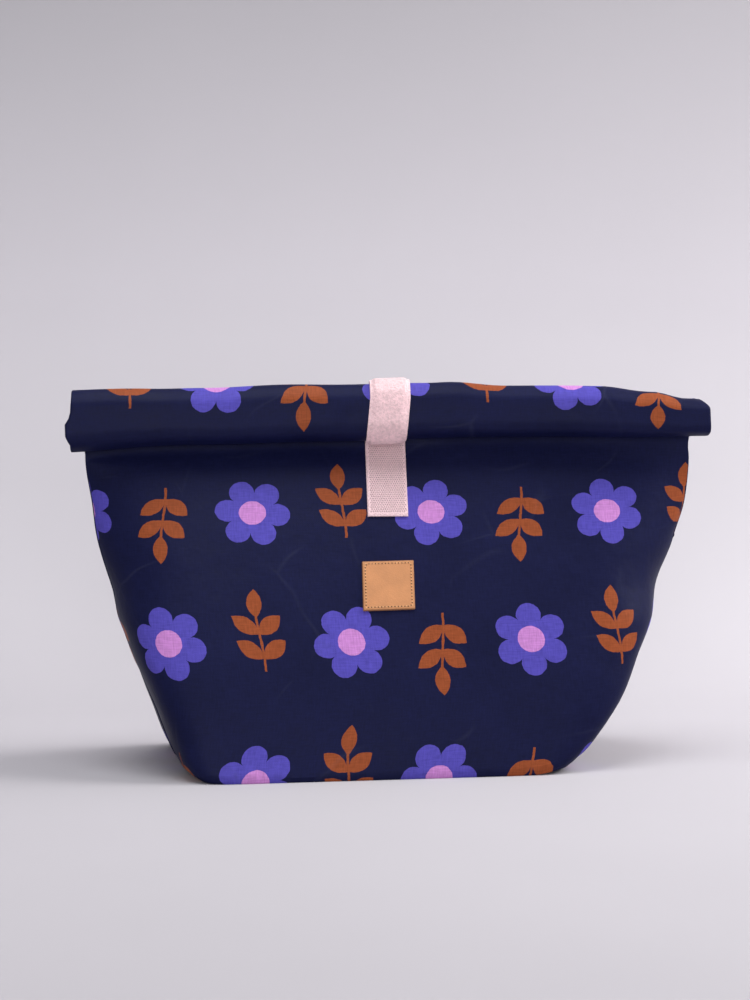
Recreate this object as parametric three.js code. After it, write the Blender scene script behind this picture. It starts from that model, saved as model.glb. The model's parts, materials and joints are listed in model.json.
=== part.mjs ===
// Roll-top lunch bag of coated cotton: a boxed base, walls that lean together into a flat neck,
// and a top rolled forward in four bands that open out, one crease after the other, into a tall sleeve.
// A fuzzy loop tape runs over the roll and presses onto a hook tape on the front wall.
//
// Millimetres, +Z up, +Y to the back, +X to the right. The origin is the middle of the base on the floor.
import * as THREE from "three";

// Overall sizes
const flatWidth = 316; // the mouth laid flat, which is also the length of the roll
const baseWidth = 184;
const baseDepth = flatWidth - baseWidth; // the corners are boxed, so the flat width is folded round the base
const clothHeight = 187; // floor to the cloth at the crest of the roll
const waistWidth = 302; // just under the roll, where the walls are drawn in
const wallRise = 1.8; // how fast the walls spread over the base: 1 is a straight slope
const wallBulge = 6; // how far the front and back walls bow out between base and neck
const neckBelowRoll = 7.5; // front and back walls come together flat this far under the roll
const waistBelowNeck = 3;

// Cloth and trimmings
const outerCloth = 0.9;
const liningCloth = 0.4;
const layerGap = 0.3; // clearance between two layers that touch
const rollGap = 0.4; // clearance between two bands of the roll
const seamWidth = 1.5; // side seam, measured in from the edge of the bag
const tapeWidth = 20;
const hookThickness = 1.0;
const loopThickness = 1.4;
const hookLength = 50;
const hookBehindRoll = 8.5; // length of hook tape that the closed roll hides
const loopBelowHook = 10; // the loop tape starts lower, on the back wall
const liningBelowNeck = 11;
const hemHeight = 8;

// Leather patch and the stitch lines
const patchSize = 25.4;
const patchThickness = 1.2;
const patchBelowHook = 30; // from the end of the hook tape down to the patch's middle
const threadThickness = 0.4;
const threadWidth = 0.6;
const threadLift = 0.15; // clearance under a thread
const patchStitchInset = 1.7;
const tapeStitchInset = 1.2;

// The roll
const bandLength = 16; // straight stretch of each band, between two creases

// How the soft bag stands: its base is turned against the roll and has slipped to the left.
const baseTwist = 6; // degrees
const twistTop = 150; // height at which the twist has faded out
const baseSlip = 7;
const slipTop = 40; // height at which the slip has faded out
// How far each side edge stands out from an even slope, as [height, distance]
const leftEdge = [
  [0, 0], [5, 2.5], [19, 2.2], [34, 2.4], [49, 0.9], [69, -0.8],
  [89, -3.6], [109, -3.4], [129, -4.5], [149, -3.4], [162, -3.4], [179, 0],
];
const rightEdge = [
  [0, -3], [10, 0], [36, 0.5], [50, 0.8], [69, 3], [89, -0.5],
  [109, 1.2], [129, 2.8], [149, 2.8], [162, 1.6], [179, 0],
];

// Worked out from the sizes above: the roll
const sleeveThickness = 2 * outerCloth + layerGap; // two walls of cloth, pressed together
const wallOffset = (outerCloth + layerGap) / 2; // from the middle of the sleeve to the middle of one wall
const bandPitch = sleeveThickness + rollGap;
const neckSpacing = sleeveThickness + hookThickness + loopThickness + 3 * layerGap;
const neckY = (neckSpacing + 3 * bandPitch) / 2;
const bandY = [-neckY, neckY - neckSpacing, bandPitch - neckY, 2 * bandPitch - neckY];
// Bands 1 and 3 hang from a crease at the top of the roll, bands 2 and 4 stand on one at the bottom.
const creaseTop = clothHeight - neckY - sleeveThickness / 2;
const creaseBottom = creaseTop - bandLength;
const creases = [
  { from: neckY, to: bandY[0], z: creaseTop, side: 1 },
  { from: bandY[0], to: bandY[1], z: creaseBottom, side: -1 },
  { from: bandY[1], to: bandY[2], z: creaseTop, side: 1 },
  { from: bandY[2], to: bandY[3], z: creaseBottom, side: -1 },
].map((c) => ({ ...c, y: (c.from + c.to) / 2, radius: Math.abs(c.from - c.to) / 2 }));

// and the heights under it
const neckStart = creaseBottom - neckBelowRoll;
const waistHeight = neckStart - waistBelowNeck;
const hookTop = creaseBottom + hookBehindRoll;
const hookBottom = hookTop - hookLength;
const loopBottom = hookBottom - loopBelowHook;
const liningTop = neckStart - liningBelowNeck;
const patchMiddle = hookBottom - patchBelowHook;

const lerp = (a, b, t) => a + (b - a) * t;
const smooth = (t) => {
  const c = Math.min(1, Math.max(0, t));
  return c * c * (3 - 2 * c);
};

// The value at one height, joined smoothly from a list of [height, value].
function along(stops, z) {
  const next = stops.findIndex(([height]) => height > z);
  if (next < 1) return stops[next < 0 ? stops.length - 1 : 0][1];
  const [z0, v0] = stops[next - 1];
  const [z1, v1] = stops[next];
  return lerp(v0, v1, smooth((z - z0) / (z1 - z0)));
}

// Half the width from seam to seam of the even bag, at one height.
function halfWidth(z) {
  const rise = 1 - (1 - Math.min(1, z / waistHeight)) ** wallRise;
  const flare = smooth((z - waistHeight) / (creaseTop - waistHeight));
  return lerp(baseWidth, waistWidth, rise) / 2 + (flare * (flatWidth - waistWidth)) / 2;
}

// Half the depth at the middle of the front wall.
function halfDepth(z) {
  const up = Math.min(1, z / neckStart);
  const lean = lerp(baseDepth / 2, sleeveThickness / 2, up);
  return lean + wallBulge * Math.sin(Math.PI * up);
}

// The neck sits behind the roll, so the bag leans back a little as it rises.
const middleY = (z) => neckY * Math.min(1, z / neckStart) ** 2;

// Half the depth at a share u of the half width: boxy at the floor, a flat lens further up.
function depthAt(u, z) {
  const up = Math.min(1, z / neckStart);
  const across = lerp(18, 5, up ** 0.6);
  const corner = lerp(9, 1.15, smooth(up * 1.5) ** 0.5);
  const share = Math.max(0, 1 - Math.abs(u) ** across) ** (1 / corner);
  const edge = sleeveThickness / 2;
  return edge + (halfDepth(z) - edge) * share;
}

// How far to the side a wall lies at a share u of the half width, with the edges as they stand out.
function acrossAt(u, z) {
  return halfWidth(z) * u + along(u < 0 ? leftEdge : rightEdge, z) * u * Math.abs(u);
}

// Moves a point of the even bag to where it lies on the turned and slipped base.
function settle(x, y, z) {
  const turn = ((baseTwist * Math.PI) / 180) * (1 - smooth(z / twistTop));
  const slip = baseSlip * (1 - smooth(z / slipTop));
  const settledX = x * Math.cos(turn) - y * Math.sin(turn) - slip;
  const settledY = x * Math.sin(turn) + y * Math.cos(turn);
  return new THREE.Vector3(settledX, settledY, z);
}

// Points along one wall from the left seam to the right one, at the given shares of its length.
// side is -1 for the front wall and 1 for the back one; inset is the length left out at each seam,
// and depth is how far the points lie inside the outer face.
function wallLine(side, z, shares, inset, depth) {
  const fine = 240;
  const raw = [];
  for (let k = 0; k <= fine; k++) {
    const u = Math.sin(lerp(-0.5, 0.5, k / fine) * Math.PI);
    const spread = Math.sign(u) * Math.abs(u) ** 0.35;
    raw.push(new THREE.Vector2(acrossAt(spread, z), middleY(z) + side * depthAt(spread, z)));
  }
  const length = [0];
  for (let k = 1; k <= fine; k++) length.push(length[k - 1] + raw[k].distanceTo(raw[k - 1]));
  const total = length[fine];
  const at = (s) => {
    const k = Math.max(1, length.findIndex((l) => l >= s - 1e-9));
    const step = length[k] - length[k - 1];
    return raw[k - 1].clone().lerp(raw[k], step > 0 ? (s - length[k - 1]) / step : 0);
  };
  const reach = 1.5;
  return shares.map((share) => {
    const s = lerp(inset, total - inset, share);
    const along = at(Math.min(total, s + reach)).sub(at(Math.max(0, s - reach))).normalize();
    const inward = new THREE.Vector2(-along.y, along.x).multiplyScalar(-side);
    const p = at(s).addScaledVector(inward, depth);
    return settle(p.x, p.y, z);
  });
}

// A point on the outer face of a wall near its middle, lifted off it by lift.
function onWall(side, x, z, lift) {
  return settle(x, middleY(z) + side * (depthAt(x / halfWidth(z), z) + lift), z);
}

// A closed solid from its corners and faces, turned outward.
function closedGeometry(vertices, faces) {
  const position = vertices.flatMap((v) => [v.x, v.y, v.z]);
  const volume = faces.reduce((sum, [a, b, c]) => {
    const cross = vertices[b].clone().cross(vertices[c]);
    return sum + vertices[a].dot(cross);
  }, 0);
  const turned = volume < 0 ? faces.map(([a, b, c]) => [a, c, b]) : faces;
  return new THREE.BufferGeometry()
    .setAttribute("position", new THREE.Float32BufferAttribute(position, 3))
    .setIndex(turned.flat());
}

// A sheet of cloth between two grids of points that have the same rows and columns.
function sheetSolid(outer, inner) {
  const rows = outer.length;
  const columns = outer[0].length;
  const vertices = [...outer.flat(), ...inner.flat()];
  const id = (layer, i, j) => layer * rows * columns + i * columns + j;
  const faces = [];
  const quad = (a, b, c, d) => faces.push([a, b, c], [a, c, d]);
  for (let i = 0; i + 1 < rows; i++)
    for (let j = 0; j + 1 < columns; j++) {
      quad(id(0, i, j), id(0, i, j + 1), id(0, i + 1, j + 1), id(0, i + 1, j));
      quad(id(1, i, j), id(1, i + 1, j), id(1, i + 1, j + 1), id(1, i, j + 1));
    }
  for (let i = 0; i + 1 < rows; i++) {
    quad(id(0, i, 0), id(0, i + 1, 0), id(1, i + 1, 0), id(1, i, 0));
    const j = columns - 1;
    quad(id(0, i, j), id(1, i, j), id(1, i + 1, j), id(0, i + 1, j));
  }
  for (let j = 0; j + 1 < columns; j++) {
    quad(id(0, 0, j), id(1, 0, j), id(1, 0, j + 1), id(0, 0, j + 1));
    const i = rows - 1;
    quad(id(0, i, j), id(0, i, j + 1), id(1, i, j + 1), id(1, i, j));
  }
  return closedGeometry(vertices, faces);
}

// A thread or bar whose four-cornered section runs through the stations, open at its ends or joined up.
function barSolid(stations, joined) {
  const vertices = stations.flat();
  const count = stations.length;
  const faces = [];
  const quad = (a, b, c, d) => faces.push([a, b, c], [a, c, d]);
  for (let i = 0; i < (joined ? count : count - 1); i++)
    for (let k = 0; k < 4; k++) {
      const here = i * 4;
      const next = ((i + 1) % count) * 4;
      const m = (k + 1) % 4;
      quad(here + k, here + m, next + m, next + k);
    }
  if (!joined) {
    const last = (count - 1) * 4;
    quad(3, 2, 1, 0);
    quad(last, last + 1, last + 2, last + 3);
  }
  return closedGeometry(vertices, faces);
}

const finish = (color, roughness, metalness = 0) =>
  new THREE.MeshStandardMaterial({ color, roughness, metalness });
const materials = {
  outer: finish(0x22233f, 0.55),
  lining: finish(0x8d8f9c, 0.6),
  hook: finish(0xc9adb2, 0.8),
  loop: finish(0xd9b7bc, 0.95),
  leather: finish(0xd29a66, 0.6),
  thread: finish(0xb98657, 0.7),
};

const bag = new THREE.Group();
function add(parent, name, geometry, material) {
  const mesh = new THREE.Mesh(geometry, materials[material]);
  mesh.name = name;
  parent.add(mesh);
  return mesh;
}

// Heights of the rows of points that walls, lining and trimmings share
const wallTop = creaseTop - layerGap;
const clearOfBase = outerCloth + layerGap;
const rowsUp = [0.03, 0.09, 0.17, 0.27, 0.385, 0.5, 0.615, 0.72, 0.82].map((up) => up * neckStart);
const lowHeights = [0, clearOfBase, ...rowsUp, liningTop];
const neckHeights = [neckStart, (neckStart + wallTop) / 2, wallTop];
const wallHeights = [...lowHeights, (liningTop + neckStart) / 2, ...neckHeights];
const seamInset = seamWidth + layerGap;
// Shares of a wall's length. They crowd together round the bag's corners and follow them up.
const leastCorner = 0.07;
function wallShares(z) {
  const deep = halfDepth(z) - sleeveThickness / 2;
  const corner = Math.max(leastCorner, deep / (2 * (deep + halfWidth(z))));
  const near = [0, 0.03, 0.25, 0.5, 0.7, 0.82, 0.92, 1, 1.08, 1.18, 1.3].map((k) => k * corner);
  const far = [0.25, 0.5, 0.75].map((t) => lerp(1.3 * corner, 0.5, t));
  const left = [...near, ...far];
  return [...left, 0.5, ...left.map((s) => 1 - s).reverse()];
}

function outerWall(side) {
  const rows = (depth) => wallHeights.map((z) => wallLine(side, z, wallShares(z), seamInset, depth));
  return sheetSolid(rows(0), rows(outerCloth));
}

function liningWall(side) {
  const heights = lowHeights.slice(1);
  const near = outerCloth + layerGap;
  const shares = (z) => wallShares(z).slice(1, -1);
  const rows = (depth) => heights.map((z) => wallLine(side, z, shares(z), seamInset, depth));
  return sheetSolid(rows(near), rows(near + liningCloth));
}

// A plate that fills the bag from wall to wall, depth inside the outer face.
function basePlate(bottom, thickness, depth) {
  const level = (z) => [-1, 1].map((side) => wallLine(side, z, wallShares(z), seamInset, depth));
  return sheetSolid(level(bottom), level(bottom + thickness));
}

add(bag, "outer_front_panel", outerWall(-1), "outer");
add(bag, "outer_back_panel", outerWall(1), "outer");
add(bag, "outer_base_panel", basePlate(0, outerCloth, outerCloth + layerGap), "outer");
add(bag, "lining_front_panel", liningWall(-1), "lining");
add(bag, "lining_back_panel", liningWall(1), "lining");
const liningDepth = outerCloth + liningCloth + 2 * layerGap;
add(bag, "lining_base_panel", basePlate(outerCloth + layerGap, liningCloth, liningDepth), "lining");

// The two side seams close the walls from the floor to the neck.
function sideSeam(side) {
  const stations = wallHeights.map((z) => {
    const outside = acrossAt(side, z);
    const up = smooth(z / neckStart);
    const inside = outside - side * lerp(outerCloth, seamWidth, up);
    const deep = lerp(sleeveThickness + 2 * seamWidth, sleeveThickness, up) / 2;
    const y = middleY(z);
    return [
      settle(inside, y - deep, z),
      settle(outside, y - deep, z),
      settle(outside, y + deep, z),
      settle(inside, y + deep, z),
    ];
  });
  return barSolid(stations, false);
}
add(bag, "left_side_seam", sideSeam(-1), "outer");
add(bag, "right_side_seam", sideSeam(1), "outer");

// A flat piece sewn to a wall, from height low to high.
function sewnPiece(side, width, low, high, thickness) {
  const heights = [low, ...wallHeights.filter((z) => z > low && z < high), high];
  const grid = (lift) =>
    heights.map((z) => [-1, -0.5, 0, 0.5, 1].map((u) => onWall(side, (u * width) / 2, z, lift)));
  return sheetSolid(grid(layerGap + thickness), grid(layerGap));
}

// A line of thread round a sewn piece, inset from its edges.
function stitchLine(side, width, low, high, thickness, inset) {
  const x = width / 2 - inset;
  const bottom = low + inset;
  const top = high - inset;
  const corners = [
    [-x, bottom],
    [x, bottom],
    [x, top],
    [-x, top],
  ];
  const base = layerGap + thickness + threadLift;
  const perSide = 8;
  const stations = [];
  corners.forEach(([x0, z0], k) => {
    const [x1, z1] = corners[(k + 1) % 4];
    for (let i = 0; i < perSide; i++) {
      const cx = lerp(x0, x1, i / perSide);
      const cz = lerp(z0, z1, i / perSide);
      const middle = (bottom + top) / 2;
      // At a corner the thread widens both ways, so that it keeps its width round the turn.
      const outX = k % 2 === 1 || i === 0 ? (Math.sign(cx) * threadWidth) / 2 : 0;
      const outZ = k % 2 === 0 || i === 0 ? (Math.sign(cz - middle) * threadWidth) / 2 : 0;
      stations.push([
        onWall(side, cx - outX, cz - outZ, base),
        onWall(side, cx + outX, cz + outZ, base),
        onWall(side, cx + outX, cz + outZ, base + threadThickness),
        onWall(side, cx - outX, cz - outZ, base + threadThickness),
      ]);
    }
  });
  return barSolid(stations, true);
}

const hook = [-1, tapeWidth, hookBottom, hookTop, hookThickness];
add(bag, "hook_strip", sewnPiece(...hook), "hook");
const hookShown = [-1, tapeWidth, hookBottom, waistHeight, hookThickness];
add(bag, "hook_strip_stitching", stitchLine(...hookShown, tapeStitchInset), "thread");

const patchLow = patchMiddle - patchSize / 2;
const patch = [-1, patchSize, patchLow, patchLow + patchSize, patchThickness];
add(bag, "leather_patch", sewnPiece(...patch), "leather");
add(bag, "patch_stitching", stitchLine(...patch, patchStitchInset), "thread");

const loopBack = [1, tapeWidth, loopBottom, wallTop, loopThickness];
add(bag, "loop_strip_back", sewnPiece(...loopBack), "loop");
add(bag, "loop_strip_stitching", stitchLine(...loopBack, tapeStitchInset), "thread");

// Half a ring of cloth round a crease, between two distances from its axis.
function creaseRing(crease, near, far, width) {
  const steps = 8;
  const ring = (radius) =>
    Array.from({ length: steps + 1 }, (_, i) => {
      const turn = (i / steps) * Math.PI;
      const toward = Math.sign(crease.from - crease.to);
      const y = crease.y + toward * radius * Math.cos(turn);
      const z = crease.z + crease.side * radius * Math.sin(turn);
      return [-width / 2, width / 2].map((x) => new THREE.Vector3(x, y, z));
    });
  return sheetSolid(ring(far), ring(near));
}

// A flat band wall with its middle plane at y, between two heights.
function bandWall(y, low, high, thickness, width) {
  const box = new THREE.BoxGeometry(width, thickness, high - low);
  return box.translate(0, y, (low + high) / 2);
}

const bandLow = creaseBottom + layerGap;
const bandHigh = creaseTop - layerGap;
const half = outerCloth / 2;
const tapeFrom = sleeveThickness / 2 + layerGap;
// The outside of the sleeve is the wall that shows on the roll: its back wall, because it rolls forward.
const facing = [-1, 1, -1, 1];
const bodies = creases.map((crease, k) => {
  const body = new THREE.Group();
  bag.add(body);
  const n = k + 1;
  const rings = [
    ["back", wallOffset],
    ["front", -wallOffset],
  ];
  rings.forEach(([wall, offset]) => {
    const middle = crease.radius + offset;
    const ring = creaseRing(crease, middle - half, middle + half, flatWidth);
    add(body, `crease_${n}_${wall}_wall`, ring, "outer");
    const y = bandY[k] + facing[k] * offset;
    const top = n === 4 ? bandHigh - hemHeight - layerGap : bandHigh;
    add(body, `band_${n}_${wall}_wall`, bandWall(y, bandLow, top, outerCloth, flatWidth), "outer");
    if (n === 4) {
      const hem = bandWall(y, bandHigh - hemHeight, bandHigh, outerCloth, flatWidth);
      add(body, `mouth_hem_${wall}`, hem, "outer");
    }
  });
  return body;
});

// The loop tape goes on over the crest, down the face of the roll and round behind it.
const [crest, lower] = creases;
const tapeRing = (crease) =>
  creaseRing(crease, crease.radius + tapeFrom, crease.radius + tapeFrom + loopThickness, tapeWidth);
const tapeMiddle = tapeFrom + loopThickness / 2;
add(bodies[0], "loop_strip_crest", tapeRing(crest), "loop");
const tapeFront = bandWall(bandY[0] - tapeMiddle, bandLow, bandHigh, loopThickness, tapeWidth);
add(bodies[0], "loop_strip_face", tapeFront, "loop");
add(bodies[1], "loop_strip_under", tapeRing(lower), "loop");
const tapeEnd = bandWall(bandY[1] + tapeMiddle, bandLow, bandHigh, loopThickness, tapeWidth);
add(bodies[1], "loop_strip_end", tapeEnd, "loop");

export default bag;
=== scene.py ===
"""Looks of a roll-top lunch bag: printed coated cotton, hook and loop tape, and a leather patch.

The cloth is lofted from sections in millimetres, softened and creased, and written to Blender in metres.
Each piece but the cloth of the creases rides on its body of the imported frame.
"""

import json
import math

import bpy
from mathutils import Matrix, Vector, noise


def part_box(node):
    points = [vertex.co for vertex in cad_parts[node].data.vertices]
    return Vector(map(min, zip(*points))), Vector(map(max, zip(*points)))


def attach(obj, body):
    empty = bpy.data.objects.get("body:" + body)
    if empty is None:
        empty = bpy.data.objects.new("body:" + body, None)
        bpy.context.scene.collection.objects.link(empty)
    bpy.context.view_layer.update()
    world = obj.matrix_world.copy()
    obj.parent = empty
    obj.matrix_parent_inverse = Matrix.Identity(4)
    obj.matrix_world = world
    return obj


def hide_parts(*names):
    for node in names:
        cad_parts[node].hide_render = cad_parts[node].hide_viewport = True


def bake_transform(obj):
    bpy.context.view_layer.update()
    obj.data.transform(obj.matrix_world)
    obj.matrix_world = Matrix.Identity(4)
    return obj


bl_info = {
    "name": "Roll-Top Lunch Bag",
    "version": (1, 0, 0),
    "blender": (4, 5, 0),
    "location": "View3D > Sidebar > Lunch Bag",
    "description": "Makes the looks of a roll-top lunch bag over its packed frame",
    "category": "Object",
}

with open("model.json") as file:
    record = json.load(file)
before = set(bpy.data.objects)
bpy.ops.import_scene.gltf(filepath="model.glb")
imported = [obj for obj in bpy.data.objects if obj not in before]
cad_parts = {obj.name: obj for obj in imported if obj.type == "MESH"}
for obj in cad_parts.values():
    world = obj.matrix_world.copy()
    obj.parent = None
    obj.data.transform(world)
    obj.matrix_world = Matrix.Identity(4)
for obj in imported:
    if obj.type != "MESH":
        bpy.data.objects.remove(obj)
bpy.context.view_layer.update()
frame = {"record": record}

MM = 0.001
JOINTS = {joint["name"]: joint for joint in frame["record"]["behaviour"]["joints"]}
CREASE_NAMES = ("crest_fold", "lower_fold", "upper_inner_fold", "lower_inner_fold")
BODY_NAMES = ("bag", "band_1", "band_2", "band_3", "band_4")


def box_mm(node):
    """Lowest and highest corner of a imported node, in millimetres."""
    low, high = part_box(node)
    return Vector(low) / MM, Vector(high) / MM


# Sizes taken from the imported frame
HINGES = [Vector(JOINTS[name]["pos_m"]) / MM for name in CREASE_NAMES]
BAND_LOW, BAND_HIGH = box_mm("band_1_back_wall")
HOOK_LOW, HOOK_HIGH = box_mm("hook_strip")
PATCH_LOW, PATCH_HIGH = box_mm("leather_patch")
LOOP_BOTTOM = box_mm("loop_strip_back")[0].z
LINING_TOP = box_mm("lining_front_panel")[1].z
TAPE_HALF = box_mm("loop_strip_face")[1].x  # half the width of both tapes

CLOTH = BAND_HIGH.y - BAND_LOW.y  # thickness of one wall of cloth
SLEEVE_HALF = 1.05  # half of two walls pressed together
WALL_OFFSET = (CLOTH + 0.3) / 2  # from the middle of the sleeve to the middle of one wall
ROLL_HALF = BAND_HIGH.x  # half the length of the roll
LAYER_Y = (6.45, -6.45, 1.05, -3.95, -1.45)  # depth of the neck, then of each band
CREASE_TOP = HINGES[0].z
CREASE_BOTTOM = HINGES[1].z
NECK_START = 156.0  # where the two walls meet
WAIST = 153.0  # where the sides stop spreading and flare out to the roll
BASE_HALF_WIDTH = 92.0
BASE_HALF_DEPTH = 66.0
WAIST_HALF_WIDTH = 151.0


class BagSizes(bpy.types.PropertyGroup):
    """Sizes of the cloth and its trimmings"""

    softness: bpy.props.FloatProperty(
        name="Softness", description="How far the walls dent and swell", default=0.0011,
        min=0.0, max=0.004, unit="LENGTH")
    print_width: bpy.props.FloatProperty(
        name="Print Width", description="Distance between two flowers in a row", default=0.088,
        min=0.02, max=0.3, unit="LENGTH")
    print_height: bpy.props.FloatProperty(
        name="Print Height", description="Distance between two rows of flowers", default=0.068,
        min=0.02, max=0.3, unit="LENGTH")
    stitch_length: bpy.props.FloatProperty(
        name="Stitch", description="Length of one stitch with its gap", default=0.0027,
        min=0.001, max=0.01, unit="LENGTH")
    fuzz_length: bpy.props.FloatProperty(
        name="Fuzz", description="Length of the hairs on the loop tape", default=0.0011,
        min=0.0, max=0.004, unit="LENGTH")


def colour_setting(name, description, srgb):
    """A colour setting whose default is given as 0 to 255 values."""
    linear = []
    for value in srgb:
        share = value / 255
        linear.append(share / 12.92 if share <= 0.04045 else ((share + 0.055) / 1.055) ** 2.4)
    return bpy.props.FloatVectorProperty(
        name=name, description=description, subtype="COLOR", size=3, min=0.0, max=1.0, default=linear)


class BagColours(bpy.types.PropertyGroup):
    """Colours of the cloth, tapes, leather and stage"""

    navy: colour_setting("Navy", "Ground of the printed cotton", (28, 32, 76))
    violet: colour_setting("Violet", "Petals of the print", (78, 70, 163))
    pink: colour_setting("Pink", "Middles of the printed flowers", (187, 126, 191))
    rust: colour_setting("Rust", "Leaves of the print", (139, 70, 40))
    loop: colour_setting("Loop Tape", "Fuzzy tape", (238, 203, 207))
    hook: colour_setting("Hook Tape", "Woven tape on the front wall", (231, 199, 203))
    leather: colour_setting("Leather", "Patch on the front wall", (190, 129, 82))
    thread: colour_setting("Patch Thread", "Stitches of the patch", (219, 172, 122))
    lining: colour_setting("Lining", "Cloth inside the bag", (150, 150, 160))
    floor: colour_setting("Floor", "Floor and backdrop", (186, 182, 187))


def sizes():
    return bpy.context.scene.lunchbag_sizes


def colours():
    return bpy.context.scene.lunchbag_colours


def lerp(a, b, t):
    return a + (b - a) * t


def smooth(t):
    t = min(1.0, max(0.0, t))
    return t * t * (3 - 2 * t)


def along(stops, at):
    """Smoothly joined values of (place, value) stops."""
    if at <= stops[0][0]:
        return stops[0][1]
    for (p0, v0), (p1, v1) in zip(stops, stops[1:]):
        if at <= p1:
            return lerp(v0, v1, smooth((at - p0) / (p1 - p0)))
    return stops[-1][1]


# How far the left and the right edge stand out from an even shape, by height
LEFT_EDGE = ((0, 0.0), (5, 2.5), (19, 2.2), (34, 2.4), (49, 0.9), (69, -0.8), (89, -3.6), (109, -3.4),
             (129, -4.5), (149, -3.4), (162, -3.4), (179.5, -6.0))
RIGHT_EDGE = ((0, -3.0), (10, 0.0), (36, 0.5), (50, 0.8), (69, 3.0), (89, -0.5), (109, 1.2),
              (129, 2.8), (149, 2.8), (162, 1.6), (179.5, -1.0))
TWIST = 6.0  # degrees that the base is turned against the roll
TWIST_TOP = 150  # height at which nothing is left of the turn
BASE_SHIFT = -7.0  # how far the base has slipped to the side
SHIFT_TOP = 40
CORNER_LIFT = 3.2  # how far the front right corner of the base stands off the floor
CORNER_REACH, CORNER_TOP = 26, 30  # how far along the base and up the wall that lift goes


def half_width(z):
    rise = 1 - (1 - min(1.0, z / WAIST)) ** 1.8
    flare = smooth((z - WAIST) / (CREASE_TOP - WAIST))
    return lerp(BASE_HALF_WIDTH, WAIST_HALF_WIDTH, rise) + flare * (ROLL_HALF - WAIST_HALF_WIDTH)


def half_depth(z):
    up = min(1.0, z / NECK_START)
    return lerp(BASE_HALF_DEPTH, SLEEVE_HALF, up) + 6 * math.sin(math.pi * up)


def middle_y(z):
    return LAYER_Y[0] * min(1.0, z / NECK_START) ** 2


def depth_at(u, z):
    """Half the depth at a share u of the half width."""
    up = min(1.0, z / NECK_START)
    across = lerp(18, 5, up ** 0.6)
    corner = lerp(9, 1.15, smooth(up * 1.5) ** 0.5)
    share = max(0.0, 1 - abs(u) ** across) ** (1 / corner)
    return SLEEVE_HALF + (half_depth(z) - SLEEVE_HALF) * share


def settle(point):
    """Moves a point of an even bag to where it lies in this one, which stands a little twisted."""
    turn = math.radians(TWIST) * (1 - smooth(point.z / TWIST_TOP))
    shift = BASE_SHIFT * (1 - smooth(point.z / SHIFT_TOP))
    x = point.x * math.cos(turn) - point.y * math.sin(turn) + shift
    y = point.x * math.sin(turn) + point.y * math.cos(turn)
    away = Vector((point.x - BASE_HALF_WIDTH, point.y + BASE_HALF_DEPTH)).length
    lift = CORNER_LIFT * (1 - smooth(away / CORNER_REACH)) * (1 - smooth(point.z / CORNER_TOP))
    return roll_ease(Vector((x, y, point.z + lift)))


DENT_START, DENT_END, DENT_FADE = 14, 132, 20  # the dents grow up to one height and fade from another


def dent(side, x, z):
    """How far a wall swells out or sinks in, in millimetres."""
    amount = sizes().softness / MM
    fade = smooth(z / DENT_START) * (1 - smooth((z - DENT_END) / DENT_FADE))
    broad = noise.noise(Vector((x * 0.013, z * 0.016, 7.3 * side)))
    fine = noise.noise(Vector((x * 0.034 + 5, z * 0.03, 3.1 * side)))
    return fade * amount * (broad * 1.5 + fine * 0.5)


BASE_TUCK = 1.8  # how far the lower edge of the walls turns in under the bag
SECTION_STEPS = 200  # fine steps along a section, before its points are spaced evenly


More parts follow.
